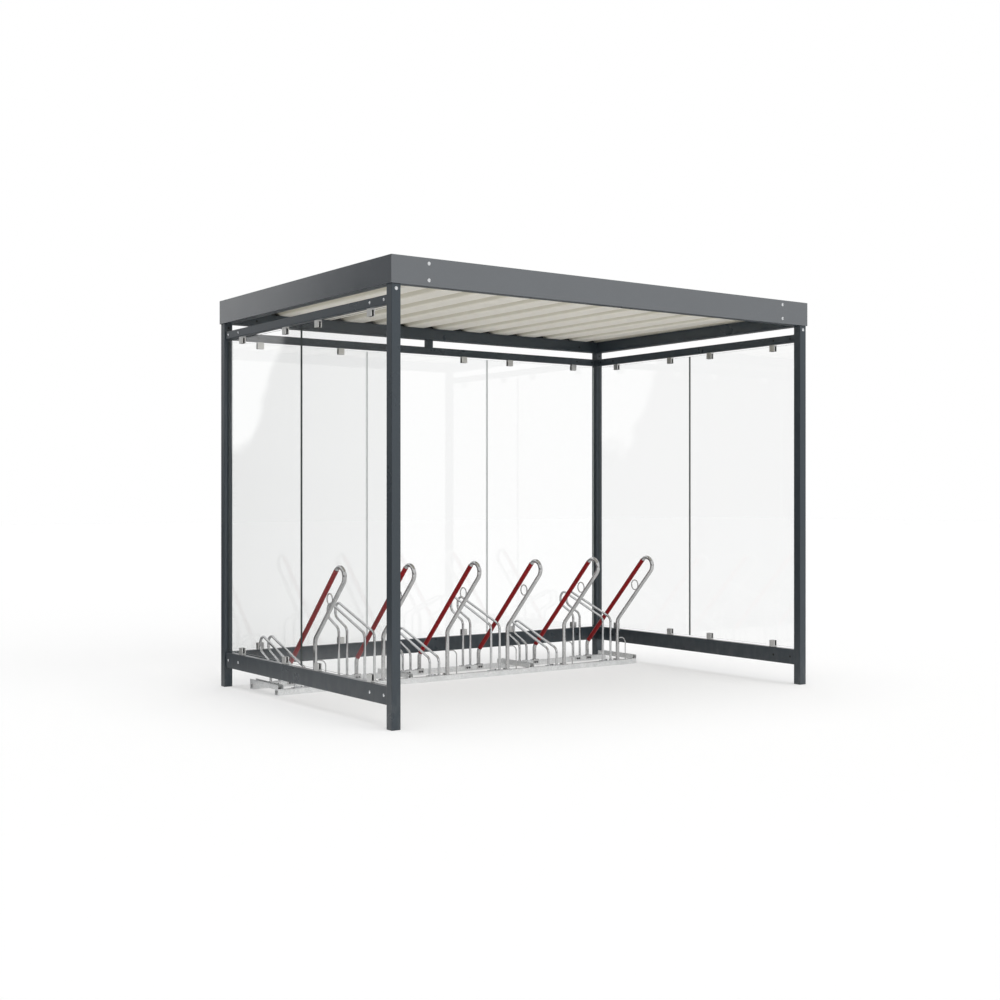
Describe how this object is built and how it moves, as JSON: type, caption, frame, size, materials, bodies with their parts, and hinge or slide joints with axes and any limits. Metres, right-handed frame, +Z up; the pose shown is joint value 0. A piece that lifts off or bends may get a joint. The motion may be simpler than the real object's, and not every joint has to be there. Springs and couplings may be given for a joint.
{
  "type": "bike shelter",
  "caption": "Flat-roofed bike shelter with an open front, walls of clamped glass panes and a staggered bike rack with lean-on arches.",
  "frame": {"origin": "on the ground, at the centre of the roof's plan", "axes": "+X along the open front to the right of someone who looks in, +Y from the open front to the rear wall, +Z up"},
  "size_m": [3.214, 2.184, 2.53],
  "materials": {
    "frame_paint": "satin powder coat",
    "fascia_paint": "satin powder coat",
    "roof_sheet_coating": "satin coil coating",
    "pane_glass": "clear",
    "clamp_metal": "matt cast",
    "clamp_rubber": "matt",
    "galvanised_base": "hot-dip galvanised",
    "galvanised_rod": "hot-dip galvanised",
    "galvanised_tube": "hot-dip galvanised",
    "sleeve_plastic": "satin heat-shrink sleeve"
  },
  "bodies": {
    "root": {"post_front_left": "frame_paint", "post_front_right": "frame_paint", "post_rear_left": "frame_paint", "post_rear_right": "frame_paint", "roof_beam_front": "frame_paint", "roof_beam_rear": "frame_paint", "roof_beam_left": "frame_paint", "roof_beam_right": "frame_paint", "top_rail_left": "frame_paint", "top_rail_right": "frame_paint", "top_rail_rear": "frame_paint", "rear_strut": "frame_paint", "bottom_rail_left": "frame_paint", "bottom_rail_right": "frame_paint", "bottom_rail_rear": "frame_paint", "fascia_front": "fascia_paint", "fascia_rear": "fascia_paint", "fascia_left": "fascia_paint", "fascia_right": "fascia_paint", "roof_sheet": "roof_sheet_coating", "glass_left_front": "pane_glass", "glass_left_rear": "pane_glass", "glass_right_front": "pane_glass", "glass_right_rear": "pane_glass", "glass_rear_left": "pane_glass", "glass_rear_middle": "pane_glass", "glass_rear_right": "pane_glass", "clamps_left": "clamp_metal", "clamps_right": "clamp_metal", "clamps_rear": "clamp_metal", "clamp_rubbers": "clamp_rubber", "rack_rail_front": "galvanised_base", "rack_rail_rear": "galvanised_base", "rack_cross_bars": "galvanised_base", "wheel_holder_1": "galvanised_rod", "wheel_holder_2": "galvanised_rod", "wheel_holder_3": "galvanised_rod", "wheel_holder_4": "galvanised_rod", "wheel_holder_5": "galvanised_rod", "wheel_holder_6": "galvanised_rod", "lean_arch_1": "galvanised_tube", "lean_arch_2": "galvanised_tube", "lean_arch_3": "galvanised_tube", "lean_arch_4": "galvanised_tube", "lean_arch_5": "galvanised_tube", "lean_arch_6": "galvanised_tube", "arch_sleeves": "sleeve_plastic"}
  },
  "joints": []
}
